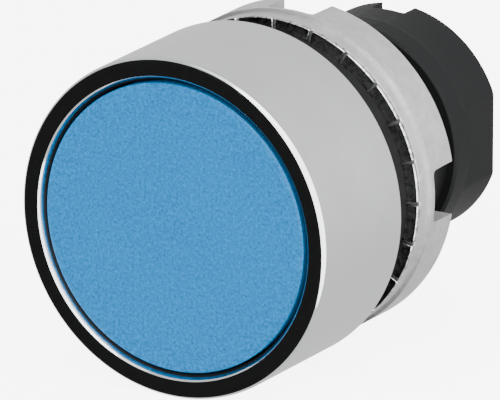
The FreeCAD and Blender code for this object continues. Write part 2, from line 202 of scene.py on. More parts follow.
class NeckSettings(bpy.types.PropertyGroup):
    """Sizes of the threaded neck."""
    radius: size("Radius", "Outside radius of the thread", 10.95)
    shoulder_radius: size("Shoulder radius", "Shoulder inside the bezel's back", 12.6)
    bore_radius: size("Bore radius", "Bore for the rear body", 8.5)
    end_chamfer: size("End chamfer", "Chamfer on the rear end", 0.4)
    pitch: size("Pitch", "Travel for one turn of the nut", 1.5)
    thread_depth: size("Thread depth", "Depth of the thread's groove", 0.85)
    keyway_width: size("Keyway width", "Width of the keyway on top", 3.2)
    keyway_floor: size("Keyway floor", "Height of the keyway's floor above the axis", 9.9)
    row: size("Row", "Spacing of the rows that the thread is cut into", 0.15)
    run_out: size("Run-out", "How far past the neck's end the thread would fade out", 0.3)


class RearSettings(bpy.types.PropertyGroup):
    """Sizes and colour of the rear coupling sleeve."""
    spigot_radius: size("Spigot radius", "Part inside the neck", 8.45)
    waist_radius: size("Waist radius", "Narrow part ahead of the sleeve", 9.3)
    sleeve_front: size("Sleeve front", "Depth of the sleeve's front edge", 29.4)
    edge_radius: size("Edge radius", "Radius at the sleeve's front edge", 9.95)
    edge_depth: size("Edge depth", "Depth where the sleeve reaches its full radius", 29.6)
    band_back: size("Band back", "Depth where the full-round band ends and the flats start", 31.6)
    taper_back: size("Taper back", "Depth where the taper behind the band ends", 32.2)
    rear_radius: size("Rear radius", "Sleeve's radius behind the band", 10.05)
    socket_radius: size("Socket radius", "Open socket at the rear", 8.9)
    web_back: size("Web back", "Depth of the socket's floor", 30.2)
    hole_radius: size("Hole radius", "Hole for the plunger's tail", 5.5)
    slot_width: size("Slot width", "Width of the slots in the rear edge", 3.2)
    slot_floor: size("Slot floor", "Depth behind the rim of the slots' floors", 35.1)
    slot_corner: size("Slot corner", "Rounding in the slots' corners", 0.3)
    flat_distance: size("Flat distance", "Distance of the side flats from the axis", 9.4)
    rib_width: size("Rib width", "Width of the socket's guide ribs", 2.0)
    rib_inner: size("Rib inner", "Distance of the ribs' inner faces from the axis", 7.2)
    rib_back: size("Rib back", "Depth of the ribs' ends", 36.2)
    rib_root: size("Rib root", "How far the ribs run into the socket's wall", 0.2)
    edge: size("Edge", "Softening of the moulded edges", 0.12)
    plastic: tint("Black plastic", "Colour of the neck and the sleeve", "#131415")


class SpringSettings(bpy.types.PropertyGroup):
    """Sizes and turns of the return spring."""
    coil_radius: size("Coil radius", "Radius to the middle of the wire", 6.8)
    wire: size("Wire", "Thickness of the wire", 0.8)
    turns: bpy.props.FloatProperty(name="Turns", description="Turns of wire", default=7.0, min=1)


class StudioSettings(bpy.types.PropertyGroup):
    """Camera and light."""
    azimuth: bpy.props.FloatProperty(
        name="Azimuth", description="Camera's angle round the object", default=math.radians(31.18),
        subtype="ANGLE")
    elevation: bpy.props.FloatProperty(
        name="Elevation", description="Camera's height above the horizon",
        default=math.radians(17.69), subtype="ANGLE")
    distance: size("Distance", "From the camera to the bezel's back", 1010.4)
    aim_drop: size("Aim drop", "How far below the press axis the camera looks", 0.84)
    lens: bpy.props.FloatProperty(
        name="Lens", description="Focal length in millimetres", default=867.3)
    floor: tint("Floor", "Colour of the floor", "#F4F4F3")
    glow: bpy.props.FloatProperty(
        name="Glow", description="Brightness of the floor and the backdrop", default=7.0, min=0)
    ambient: bpy.props.FloatProperty(
        name="Ambient", description="Brightness of the light from all round", default=1.15, min=0)
    white_card: bpy.props.FloatProperty(
        name="White card", description="Brightness of the card that the polished edges reflect",
        default=6.0, min=0)
    dark_card: bpy.props.FloatProperty(
        name="Dark card", description="Brightness of the card that the flat front ring reflects",
        default=0.02, min=0)
    softbox_power: bpy.props.FloatProperty(
        name="Softbox power", description="Power of the softbox overhead, in watts", default=2.5, min=0)
    softbox_size: size("Softbox size", "Width of the square softbox", 700)
    floor_size: size("Floor size", "Width of the square floor", 3000)


class HeadSettings(bpy.types.PropertyGroup):
    """All the settings of the operator head."""
    bezel: bpy.props.PointerProperty(type=BezelSettings)
    cap: bpy.props.PointerProperty(type=CapSettings)
    gasket: bpy.props.PointerProperty(type=GasketSettings)
    washer: bpy.props.PointerProperty(type=WasherSettings)
    nut: bpy.props.PointerProperty(type=NutSettings)
    neck: bpy.props.PointerProperty(type=NeckSettings)
    rear: bpy.props.PointerProperty(type=RearSettings)
    spring: bpy.props.PointerProperty(type=SpringSettings)
    studio: bpy.props.PointerProperty(type=StudioSettings)


# ---------------------------------------------------------------- meshes

def rounded(outline, steps=5):
    """A closed outline of (radius, depth, round) with each corner turned into an arc of its round."""
    points = []
    for number, corner in enumerate(outline):
        here = Vector(corner[:2])
        if len(corner) < 3:
            points.append(here)
            continue
        before = Vector(outline[number - 1][:2]) - here
        after = Vector(outline[(number + 1) % len(outline)][:2]) - here
        half = before.angle(after) / 2
        run = min(corner[2] / math.tan(half), 0.49 * before.length, 0.49 * after.length)
        arc_radius = run * math.tan(half)
        middle = here + (before.normalized() + after.normalized()).normalized() * arc_radius / math.sin(half)
        first = here + before.normalized() * run - middle
        turn = first.angle_signed(here + after.normalized() * run - middle)
        for step in range(steps + 1):
            points.append(middle + Matrix.Rotation(-turn * step / steps, 2) @ first)
    return points


def brow(outer, front, width, drop, steps=16):
    """Outline points of a rim that rounds off over a width inwards and a drop backwards."""
    turns = [math.pi / 2 * k / steps for k in range(steps + 1)]
    return [(outer - width * (1 - math.sin(turn)), front + drop * (1 - math.cos(turn))) for turn in turns]


def place(radius, depth, angle):
    """A point of a turned piece. Angle 0 is straight up, and grows as the nut's does when it backs off."""
    return Vector((radius * math.sin(angle), FRONT + depth, radius * math.cos(angle)))


def spin(outline, columns=COLUMNS):
    """Points and faces of a solid turned from a closed outline. An outline point on the axis is a pole."""
    points, rings = [], []
    for radius, depth in outline:
        if radius < MERGE:
            rings.append([len(points)] * columns)
            points.append(place(0, depth, 0))
        else:
            rings.append(list(range(len(points), len(points) + columns)))
            points += [place(radius, depth, FULL_TURN * k / columns) for k in range(columns)]
    faces = []
    for number, ring in enumerate(rings):
        after = rings[(number + 1) % len(rings)]
        for k in range(columns):
            j = (k + 1) % columns
            face = list(dict.fromkeys((ring[k], ring[j], after[j], after[k])))
            if len(face) > 2:
                faces.append(face)
    return points, faces


def slotted(outline, slots, half_width, offsets, clip, sector):
    """Points and faces of a turned piece with parallel-sided slots.

    slots are the slots' angles, offsets the places of the columns across a slot, from -half_width to
    half_width, and clip(radius, depth, offset) says where an outline point goes inside a slot. The
    columns between slots bend with the radius, so that each slot's sides are flat.
    """
    columns = []
    for number, centre in enumerate(slots):
        for offset in offsets:
            column = []
            for radius, depth in outline:
                clipped, moved = clip(radius, depth, offset)
                column.append(place(clipped, moved, centre + math.asin(offset / clipped)))
            columns.append(column)
        gap = (slots[(number + 1) % len(slots)] - centre) % FULL_TURN or FULL_TURN
        for step in range(sector + 1):
            column = []
            for radius, depth in outline:
                edge = math.asin(half_width / radius)
                column.append(place(radius, depth, centre + edge + (gap - 2 * edge) * step / sector))
            columns.append(column)
    rows = len(outline)
    points = [point for column in columns for point in column]
    faces = []
    for k in range(len(columns)):
        j = (k + 1) % len(columns)
        for row in range(rows):
            below = (row + 1) % rows
            faces.append((k * rows + row, j * rows + row, j * rows + below, k * rows + below))
    return points, faces


def block(low, high):
    """Points and faces of a box between two corners."""
    points = [Vector((x, y, z)) for x in (low[0], high[0]) for y in (low[1], high[1])
              for z in (low[2], high[2])]
    faces = [(0, 1, 3, 2), (4, 6, 7, 5), (0, 4, 5, 1), (2, 3, 7, 6), (0, 2, 6, 4), (1, 5, 7, 3)]
    return points, faces


def joined(*parts):
    """Several lots of points and faces as one."""
    points, faces = [], []
    for more_points, more_faces in parts:
        faces += [[index + len(points) for index in face] for face in more_faces]
        points += more_points
    return points, faces


def make_piece(name, shape, materials):
    """A clean object from points and faces, with its faces pointing outwards."""
    mesh = bpy.data.meshes.new(name)
    mesh.from_pydata(shape[0], [], shape[1])
    work = bmesh.new()
    work.from_mesh(mesh)
    bmesh.ops.remove_doubles(work, verts=work.verts, dist=MERGE)
    bmesh.ops.dissolve_degenerate(work, dist=MERGE, edges=work.edges)
    bmesh.ops.recalc_face_normals(work, faces=work.faces)
    work.to_mesh(mesh)
    work.free()
    for material in materials:
        mesh.materials.append(material)
    piece = bpy.data.objects.new(name, mesh)
    bpy.context.scene.collection.objects.link(piece)
    return piece


def bake_modifiers(piece):
    """Turns what the modifiers give into the piece's own plain mesh."""
    bpy.context.view_layer.update()
    graph = bpy.context.evaluated_depsgraph_get()
    mesh = bpy.data.meshes.new_from_object(piece.evaluated_get(graph))
    piece.modifiers.clear()
    mesh.name = piece.name
    piece.data = mesh


def shade(piece, bevel=0.0, weighted=False):
    """Softens the sharp or weighted edges by a bevel's width, and gives flat faces flat shading."""
    if bevel:
        soft = piece.modifiers.new("soft_edges", "BEVEL")
        soft.width = bevel
        soft.segments = 3
        soft.limit_method = "WEIGHT" if weighted else "ANGLE"
        soft.angle_limit = SHARP
        soft.use_clamp_overlap = True
        bake_modifiers(piece)
    piece.data.shade_smooth()
    piece.data.set_sharp_from_angle(angle=SHARP)
    even = piece.modifiers.new("even_shading", "WEIGHTED_NORMAL")
    even.keep_sharp = True
    even.weight = 80
    bake_modifiers(piece)


def seat(piece, body, nodes):
    """Puts a finished piece on its body, in place of its CAD nodes."""
    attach(piece, body)
    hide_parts(*nodes)


# ---------------------------------------------------------------- node trees

def add(tree, kind, inputs=None, **settings):
    """Adds a node. Its settings are set first, then each input, which is a value or another node's socket."""
    new = tree.nodes.new(kind)
    for name, value in settings.items():
        setattr(new, name, value)
    for key, value in (inputs or {}).items():
        socket = new.inputs[key]
        if isinstance(value, bpy.types.NodeSocket):
            tree.links.new(value, socket)
        else:
            socket.default_value = value
    return new


def group(name, sockets):
    """An empty Geometry Nodes tree with named inputs. Returns the tree and its input node."""
    tree = bpy.data.node_groups.new(name, "GeometryNodeTree")
    tree.interface.new_socket("Geometry", in_out="OUTPUT", socket_type="NodeSocketGeometry")
    tree.interface.new_socket("Geometry", in_out="INPUT", socket_type="NodeSocketGeometry")
    for label, kind in sockets:
        tree.interface.new_socket(label, in_out="INPUT", socket_type="NodeSocket" + kind)
    return tree, tree.nodes.new("NodeGroupInput")


def close_tree(tree, geometry, material):
    """Ends a tree in Realize Instances and Set Material."""
    real = add(tree, "GeometryNodeRealizeInstances", {"Geometry": geometry})
    coat = add(tree, "GeometryNodeSetMaterial", {"Geometry": real.outputs[0], "Material": material})
    end = tree.nodes.new("NodeGroupOutput")
    tree.links.new(coat.outputs[0], end.inputs[0])


def grow(piece, tree, **values):
    """Runs a Geometry Nodes tree on a piece, with its inputs set by name, and keeps the plain mesh."""
    modifier = piece.modifiers.new(tree.name, "NODES")
    modifier.node_group = tree
    for item in tree.interface.items_tree:
        key = item.name.replace(" ", "_").lower()
        if item.in_out == "INPUT" and key in values:
            modifier[item.identifier] = values[key]
    bake_modifiers(piece)


def polar_array_tree():
    """Copies of a template round the press axis, each a little taller or shorter, with the base piece."""
    tree, entry = group("polar_array", (
        ("Template", "Object"), ("Count", "Int"), ("Unevenness", "Float"), ("Seed", "Int"),
        ("Material", "Material")))
    template = add(tree, "GeometryNodeObjectInfo", {"Object": entry.outputs["Template"]})
    line = add(tree, "GeometryNodeMeshLine", {
        "Count": entry.outputs["Count"], "Offset": (0, 0, 0)})
    index = tree.nodes.new("GeometryNodeInputIndex")
    share = add(tree, "ShaderNodeMath", {0: index.outputs[0], 1: entry.outputs["Count"]},
                operation="DIVIDE")
    angle = add(tree, "ShaderNodeMath", {0: share.outputs[0], 1: FULL_TURN}, operation="MULTIPLY")
    turn = add(tree, "ShaderNodeCombineXYZ", {"Y": angle.outputs[0]})
    lowest = add(tree, "ShaderNodeMath", {0: 1.0, 1: entry.outputs["Unevenness"]}, operation="SUBTRACT")
    height = add(tree, "FunctionNodeRandomValue", {
        "Min": lowest.outputs[0], "Max": 1.0, "Seed": entry.outputs["Seed"]})
    scale = add(tree, "ShaderNodeCombineXYZ", {
        "X": height.outputs["Value"], "Y": 1.0, "Z": height.outputs["Value"]})
    copies = add(tree, "GeometryNodeInstanceOnPoints", {
        "Points": line.outputs[0], "Instance": template.outputs["Geometry"],
        "Rotation": turn.outputs[0], "Scale": scale.outputs[0]})
    both = add(tree, "GeometryNodeJoinGeometry", {"Geometry": entry.outputs["Geometry"]})
    tree.links.new(copies.outputs[0], both.inputs[0])
    close_tree(tree, both.outputs[0], entry.outputs["Material"])
    return tree


def thread_tree():
    """Cuts a right-hand screw groove into the outside of a finely divided turned piece."""
    tree, entry = group("cut_thread", (
        ("Radius", "Float"), ("Pitch", "Float"), ("Depth", "Float"), ("Start", "Float"),
        ("End", "Float"), ("Material", "Material")))

    def calc(operation, first, second=0.0):
        return add(tree, "ShaderNodeMath", {0: first, 1: second}, operation=operation).outputs[0]

    place_of = tree.nodes.new("GeometryNodeInputPosition")
    split = add(tree, "ShaderNodeSeparateXYZ", {0: place_of.outputs[0]})
    x, y, z = split.outputs
    flat = add(tree, "ShaderNodeCombineXYZ", {"X": x, "Z": z}).outputs[0]
    radius = add(tree, "ShaderNodeVectorMath", {0: flat}, operation="LENGTH").outputs["Value"]
    outward = add(tree, "ShaderNodeVectorMath", {0: flat}, operation="NORMALIZE").outputs[0]
    turns = calc("DIVIDE", calc("ARCTAN2", x, z), FULL_TURN)
    along = calc("DIVIDE", y, entry.outputs["Pitch"])
    phase = calc("FRACT", calc("SUBTRACT", along, turns))
    crest = calc("MULTIPLY", calc("ABSOLUTE", calc("SUBTRACT", phase, 0.5)), 2.0)
    # crest runs from 0 to 1 across a pitch, flat on the outer 15 % and at the root's 25 %
    groove = add(tree, "ShaderNodeMapRange", {
        "Value": crest, "From Min": 0.85, "From Max": 0.25, "To Min": 0.0, "To Max": 1.0}).outputs[0]
    # the groove deepens over 0.6 of a turn at each end, as a moulded thread does
    run_in = calc("MULTIPLY", entry.outputs["Pitch"], 0.6)
    first = add(tree, "ShaderNodeMapRange", {
        "Value": y, "From Min": entry.outputs["Start"],
        "From Max": calc("ADD", entry.outputs["Start"], run_in)}).outputs[0]
    last = add(tree, "ShaderNodeMapRange", {
        "Value": y, "From Min": entry.outputs["End"],
        "From Max": calc("SUBTRACT", entry.outputs["End"], run_in)}).outputs[0]
    outside = calc("GREATER_THAN", radius, calc("SUBTRACT", entry.outputs["Radius"], 2 * FINE))
    cut = calc("MULTIPLY", calc("MULTIPLY", groove, calc("MULTIPLY", first, last)), outside)
    inward = calc("MULTIPLY", calc("MULTIPLY", cut, entry.outputs["Depth"]), -1.0)
    offset = add(tree, "ShaderNodeVectorMath", {0: outward, "Scale": inward}, operation="SCALE")
    moved = add(tree, "GeometryNodeSetPosition", {
        "Geometry": entry.outputs["Geometry"], "Offset": offset.outputs[0]})
    close_tree(tree, moved.outputs[0], entry.outputs["Material"])
    return tree


def spring_tree():
    """A compression spring along Y with its end turns drawn together."""
    tree, entry = group("coil_spring", (
        ("Coil Radius", "Float"), ("Wire Radius", "Float"), ("Turns", "Float"), ("Start", "Float"),
        ("Length", "Float"), ("Material", "Material")))
    height = entry.outputs["Length"]
    spiral = add(tree, "GeometryNodeCurveSpiral", {
        "Resolution": 48, "Rotations": entry.outputs["Turns"],
        "Start Radius": entry.outputs["Coil Radius"], "End Radius": entry.outputs["Coil Radius"],
        "Height": height})
    place_of = tree.nodes.new("GeometryNodeInputPosition")
    x, y, z = add(tree, "ShaderNodeSeparateXYZ", {0: place_of.outputs[0]}).outputs
    share = add(tree, "ShaderNodeMath", {0: z, 1: height}, operation="DIVIDE").outputs[0]
    wave = add(tree, "ShaderNodeMath", {
        0: add(tree, "ShaderNodeMath", {0: share, 1: FULL_TURN}, operation="MULTIPLY").outputs[0]},
        operation="SINE").outputs[0]
    # the larger this is, the closer the end turns lie
    closing = 0.45 / FULL_TURN
    drawn = add(tree, "ShaderNodeMath", {0: wave, 1: -closing}, operation="MULTIPLY").outputs[0]
    even = add(tree, "ShaderNodeMath", {0: share, 1: drawn}, operation="ADD").outputs[0]
    lifted = add(tree, "ShaderNodeMath", {0: even, 1: height}, operation="MULTIPLY").outputs[0]
    depth = add(tree, "ShaderNodeMath", {0: lifted, 1: entry.outputs["Start"]}, operation="ADD")
    laid = add(tree, "ShaderNodeCombineXYZ", {"X": y, "Y": depth.outputs[0], "Z": x})
    moved = add(tree, "GeometryNodeSetPosition", {
        "Geometry": spiral.outputs[0], "Position": laid.outputs[0]})
    ring = add(tree, "GeometryNodeCurvePrimitiveCircle", {
        "Resolution": 16, "Radius": entry.outputs["Wire Radius"]})
    wire = add(tree, "GeometryNodeCurveToMesh", {
        "Curve": moved.outputs[0], "Profile Curve": ring.outputs[0], "Fill Caps": True})
    close_tree(tree, wire.outputs[0], entry.outputs["Material"])
    return tree


# ---------------------------------------------------------------- materials

def cell(millimetres):
    """The texture scale whose features are about this size."""
    return 1 / (millimetres * MM)


def new_material(name, **values):
    """A material with a Principled shader. Returns the material, its tree, the shader and the coordinates."""
    material = bpy.data.materials.new(name)
    material.use_nodes = True
    tree = material.node_tree
    shader = next(n for n in tree.nodes if n.type == "BSDF_PRINCIPLED")
    for key, value in values.items():
        socket = key.replace("_", " ").title().replace("Ior", "IOR")
        shader.inputs[socket].default_value = value
    where = tree.nodes.new("ShaderNodeTexCoord").outputs["Object"]
    return material, tree, shader, where


def polished_chrome(colour):
    """Bright chrome plate on a die-casting: a dark mirror with a faint orange peel and a few hazy spots."""
    material, tree, shader, where = new_material(
        "polished_chrome_plate", base_color=colour, metallic=1.0)
    haze = add(tree, "ShaderNodeTexNoise", {
        "Vector": where, "Scale": cell(1.1), "Detail": 5.0, "Roughness": 0.65})
    rough = add(tree, "ShaderNodeMapRange", {
        "Value": haze.outputs[0], "From Min": 0.35, "From Max": 0.75, "To Min": 0.07, "To Max": 0.16})
    tree.links.new(rough.outputs[0], shader.inputs["Roughness"])
    peel = add(tree, "ShaderNodeTexNoise", {"Vector": where, "Scale": cell(0.35), "Detail": 3.0})
    bump = add(tree, "ShaderNodeBump", {
        "Height": peel.outputs[0], "Strength": 0.25, "Distance": 0.004 * MM})
    tree.links.new(bump.outputs[0], shader.inputs["Normal"])
    return material


def satin_chrome(colour):
    """Satin chrome on the turned side of the shell: even grey with fine lines round it."""
    material, tree, shader, where = new_material(
        "satin_chrome_plate", base_color=colour, metallic=1.0)
    stretch = add(tree, "ShaderNodeMapping", {"Vector": where, "Scale": (0.06, 1.0, 0.06)})
    # real turning lines are about 0.05 mm apart, drawn at 0.14 mm so that they show
    lines = add(tree, "ShaderNodeTexNoise", {
        "Vector": stretch.outputs[0], "Scale": cell(0.14), "Detail": 4.0, "Roughness": 0.7})
    cloud = add(tree, "ShaderNodeTexNoise", {"Vector": where, "Scale": cell(5.0), "Detail": 3.0})
    mixed = add(tree, "ShaderNodeMath", {0: lines.outputs[0], 1: cloud.outputs[0]}, operation="ADD")
    rough = add(tree, "ShaderNodeMapRange", {
        "Value": mixed.outputs[0], "From Min": 0.7, "From Max": 1.3, "To Min": 0.34, "To Max": 0.43})
    tree.links.new(rough.outputs[0], shader.inputs["Roughness"])
    bump = add(tree, "ShaderNodeBump", {
        "Height": lines.outputs[0], "Strength": 0.12, "Distance": 0.006 * MM})
    tree.links.new(bump.outputs[0], shader.inputs["Normal"])
    return material


def painted_bore_shade():
    """Painted shade in the shell's bore: a dull dark grey metal that stands in for the shade deep in the gap
    round the cap.
    """
    material, tree, shader, where = new_material(
        "bare_zinc_bore", base_color=linear("#3C3D3E"), metallic=1.0)
    grain = add(tree, "ShaderNodeTexNoise", {"Vector": where, "Scale": cell(0.3), "Detail": 4.0})
    rough = add(tree, "ShaderNodeMapRange", {"Value": grain.outputs[0], "To Min": 0.5, "To Max": 0.8})
    tree.links.new(rough.outputs[0], shader.inputs["Roughness"])
    return material


def cast_zinc(colour):
    """Tumbled zinc die-casting: satin grey with cloudy mottling, fine pits and brighter rubbed spots."""
    material, tree, shader, where = new_material("cast_zinc_alloy", metallic=1.0)
    cloud = add(tree, "ShaderNodeTexNoise", {
        "Vector": where, "Scale": cell(1.6), "Detail": 6.0, "Roughness": 0.7, "Distortion": 0.6})
    tone = add(tree, "ShaderNodeMapRange", {
        "Value": cloud.outputs[0], "From Min": 0.3, "From Max": 0.7, "To Min": 0.82, "To Max": 1.1})
    shadow = add(tree, "ShaderNodeVectorMath", {0: colour[:3], "Scale": tone.outputs[0]},
                 operation="SCALE")
    tree.links.new(shadow.outputs[0], shader.inputs["Base Color"])
    grain = add(tree, "ShaderNodeTexNoise", {
        "Vector": where, "Scale": cell(0.22), "Detail": 5.0, "Roughness": 0.75})
    rough = add(tree, "ShaderNodeMapRange", {
        "Value": grain.outputs[0], "From Min": 0.3, "From Max": 0.7, "To Min": 0.4, "To Max": 0.6})
    tree.links.new(rough.outputs[0], shader.inputs["Roughness"])
    bump = add(tree, "ShaderNodeBump", {
        "Height": grain.outputs[0], "Strength": 0.5, "Distance": 0.012 * MM})
    tree.links.new(bump.outputs[0], shader.inputs["Normal"])
    return material


def zinc_plate(colour, stain):
    """Zinc plate on stamped steel, with dark handling stains in random patches over it."""
    material, tree, shader, where = new_material("stained_zinc_plate", metallic=1.0)
    cloud = add(tree, "ShaderNodeTexNoise", {
        "Vector": where, "Scale": cell(0.5), "Detail": 6.0, "Roughness": 0.75, "Distortion": 0.8})
    patch = add(tree, "ShaderNodeMapRange", {
        "Value": cloud.outputs[0], "From Min": 0.34, "From Max": 0.58})
    shades = add(tree, "ShaderNodeMix", {"Factor": patch.outputs[0], 6: stain, 7: colour},
                 data_type="RGBA")
    tree.links.new(shades.outputs[2], shader.inputs["Base Color"])
    rough = add(tree, "ShaderNodeMapRange", {
        "Value": cloud.outputs[0], "From Min": 0.3, "From Max": 0.7, "To Min": 0.12, "To Max": 0.2})
    tree.links.new(rough.outputs[0], shader.inputs["Roughness"])
    grain = add(tree, "ShaderNodeTexNoise", {"Vector": where, "Scale": cell(0.14), "Detail": 4.0})
    bump = add(tree, "ShaderNodeBump", {
        "Height": grain.outputs[0], "Strength": 0.35, "Distance": 0.008 * MM})
    tree.links.new(bump.outputs[0], shader.inputs["Normal"])
    return material


def spring_steel():
    """Oiled spring steel: dark metal with drawing lines."""
    material, tree, shader, where = new_material(
        "oiled_spring_steel", base_color=linear("#8A8B8E"), metallic=1.0)
    grain = add(tree, "ShaderNodeTexNoise", {"Vector": where, "Scale": cell(0.12), "Detail": 4.0})
    rough = add(tree, "ShaderNodeMapRange", {"Value": grain.outputs[0], "To Min": 0.25, "To Max": 0.45})
    tree.links.new(rough.outputs[0], shader.inputs["Roughness"])
    return material


def moulded(name, colour, speckle, roughness, grain_mm, depth_mm, gloss=0.5):
    """Moulded plastic or rubber: the mould's grain breaks up the light, and the colour has a fine speckle."""
    material, tree, shader, where = new_material(name, ior=1.53, specular_ior_level=gloss)
    fine = add(tree, "ShaderNodeTexNoise", {
        "Vector": where, "Scale": cell(grain_mm), "Detail": 4.0, "Roughness": 0.75})
    broad = add(tree, "ShaderNodeTexNoise", {"Vector": where, "Scale": cell(6.0), "Detail": 2.0})
    low = add(tree, "ShaderNodeMapRange", {
        "Value": fine.outputs[0], "From Min": 0.3, "From Max": 0.72,
        "To Min": 1 - speckle, "To Max": 1 + speckle})
    slow = add(tree, "ShaderNodeMapRange", {
        "Value": broad.outputs[0], "From Min": 0.3, "From Max": 0.7, "To Min": 0.98, "To Max": 1.02})
    both = add(tree, "ShaderNodeMath", {0: low.outputs[0], 1: slow.outputs[0]}, operation="MULTIPLY")
    colouring = add(tree, "ShaderNodeVectorMath", {0: colour[:3], "Scale": both.outputs[0]},
                    operation="SCALE")
    tree.links.new(colouring.outputs[0], shader.inputs["Base Color"])
    rough = add(tree, "ShaderNodeMapRange", {
        "Value": fine.outputs[0], "From Min": 0.3, "From Max": 0.7,
        "To Min": roughness - 0.06, "To Max": roughness + 0.08})
    tree.links.new(rough.outputs[0], shader.inputs["Roughness"])
    bump = add(tree, "ShaderNodeBump", {
        "Height": fine.outputs[0], "Strength": 0.6, "Distance": depth_mm * MM})
    tree.links.new(bump.outputs[0], shader.inputs["Normal"])
    return material


def black_polyamide(colour):
    """Glass-filled polyamide of the neck and the sleeve, made once for both: a dull, grainy black."""
    name = "moulded_black_polyamide"
    return bpy.data.materials.get(name) or moulded(
        name, colour, speckle=0.2, roughness=0.55, grain_mm=0.2, depth_mm=0.014, gloss=0.12)


def gasket_rubber(colour, dust):
    """Moulded nitrile rubber with a rough, slightly dusty skin."""
    material, tree, shader, where = new_material(
        "moulded_nitrile_rubber", ior=1.52, specular_ior_level=0.12)
    crumb = add(tree, "ShaderNodeTexNoise", {
        "Vector": where, "Scale": cell(0.3), "Detail": 6.0, "Roughness": 0.8, "Distortion": 1.2})
    mix = add(tree, "ShaderNodeMapRange", {
        "Value": crumb.outputs[0], "From Min": 0.46, "From Max": 0.72})
    shades = add(tree, "ShaderNodeMix", {
        "Factor": mix.outputs[0], 6: colour, 7: dust}, data_type="RGBA")
    tree.links.new(shades.outputs[2], shader.inputs["Base Color"])
    rough = add(tree, "ShaderNodeMapRange", {
        "Value": crumb.outputs[0], "From Min": 0.3, "From Max": 0.7, "To Min": 0.45, "To Max": 0.75})
    tree.links.new(rough.outputs[0], shader.inputs["Roughness"])
    bump = add(tree, "ShaderNodeBump", {
        "Height": crumb.outputs[0], "Strength": 0.8, "Distance": 0.05 * MM})
    tree.links.new(bump.outputs[0], shader.inputs["Normal"])
    return material


# ---------------------------------------------------------------- operators

class PUSHBUTTON_OT_bezel(bpy.types.Operator):
    """Turn the metal shell, with its polished lip and satin side"""
    bl_idname = "push_button.bezel"
    bl_label = "Bezel"

    def execute(self, context):
        s = context.scene.push_button_head.bezel
        outer, back = reach("bezel"), back_of("bezel")
        groove_front, groove_back = front_of("bezel_lock_ring"), back_of("bezel_lock_ring")
        groove_radius = reach("bezel_lock_ring") + s.groove_play
        # the point on the inner bevel where the chrome ends and the bore's painted shade begins
        share = (s.plated_depth - s.lip_chamfer) / (s.bevel_depth - s.lip_chamfer)
        painted_shade_radius = s.lip_radius + (s.bore_radius - s.lip_radius) * share
        outline = rounded([
            (s.lip_radius + s.lip_chamfer, 0.0, s.corner),
            *brow(outer, 0.0, s.edge_width, s.edge_depth),
            (outer, back, s.corner),
            (s.recess_radius, back, s.fine_corner),
            (s.recess_radius, groove_back),
            (groove_radius, groove_back),
            (groove_radius, groove_front),
            (s.recess_radius, groove_front),
            (s.recess_radius, s.step_depth),
            (s.bore_radius, s.step_depth),
            (s.bore_radius, s.bevel_depth, s.bore_corner),
            (painted_shade_radius, s.plated_depth),
            (s.lip_radius, s.lip_chamfer, s.fine_corner),
        ], steps=6)
        # the third material is painted shade for the bore, darker than the chrome
        materials = [polished_chrome(s.plate), satin_chrome(s.satin), painted_bore_shade()]
        piece = make_piece("bezel_shell", spin(outline, TURNED_COLUMNS), materials)
        for face in piece.data.polygons:
            depth = face.center.y - FRONT
            radius = math.hypot(face.center.x, face.center.z)
            if radius > outer - 3 * FINE and depth > s.edge_depth:
                face.material_index = SATIN
            # faces deep in the bore, inside the rounded edge, get the painted shade
            elif depth > s.plated_depth and radius < outer - s.edge_width:
                face.material_index = PAINTED_BORE_SHADE
        shade(piece)
        seat(piece, "housing", ["bezel"])
        return {"FINISHED"}


class PUSHBUTTON_OT_cap(bpy.types.Operator):
    """Mould the flush cap"""
    bl_idname = "push_button.cap"
    bl_label = "Cap"

    def execute(self, context):
        s = context.scene.push_button_head.cap
        outer, front, back = reach("button_cap"), front_of("button_cap"), back_of("button_cap")
        inner = outer - s.skirt
        crown_steps = 12
        flat = outer - s.edge_width
        crown = [(flat * k / crown_steps, front + s.crown * (k / crown_steps) ** 2)
                 for k in range(crown_steps)]
        outline = rounded([
            *crown,
            *brow(outer, front + s.crown, s.edge_width, s.edge_drop),
            (outer, back, s.skirt_corner),
            (inner, back, s.inner_corner),
            (inner, front + s.wall, s.fillet),
            (0.0, front + s.wall),
        ], steps=8)
        # a spark-eroded mould leaves fine light flecks on the blue, and the rim catches a pale line
        plastic = moulded(
            "moulded_blue_polyamide", s.plastic, speckle=0.45, roughness=0.4, grain_mm=0.24,
            depth_mm=0.012, gloss=0.25)
        piece = make_piece("blue_cap", spin(outline, TURNED_COLUMNS), [plastic])
        shade(piece)
        seat(piece, "pusher", ["button_cap"])
        return {"FINISHED"}


class PUSHBUTTON_OT_gasket(bpy.types.Operator):
    """Mould the panel gasket: a flange against the bezel, and a smooth ring that shows"""
    bl_idname = "push_button.gasket"
    bl_label = "Gasket"

    def execute(self, context):
        s = context.scene.push_button_head.gasket
        flange, front, back = reach("panel_gasket"), front_of("panel_gasket"), back_of("panel_gasket")
        outline = rounded([
            (s.bore_radius, front),
            (flange, front, s.flange_corner),
            (flange, front + s.flange, s.corner),
            (s.radius, front + s.flange, s.corner),
            (s.radius, back, s.back_corner),
            (s.bore_radius, back),
        ])
        piece = make_piece("gasket_ring", spin(outline), [gasket_rubber(s.rubber, s.dust)])
        shade(piece)
        seat(piece, "housing", ["panel_gasket"])
        return {"FINISHED"}


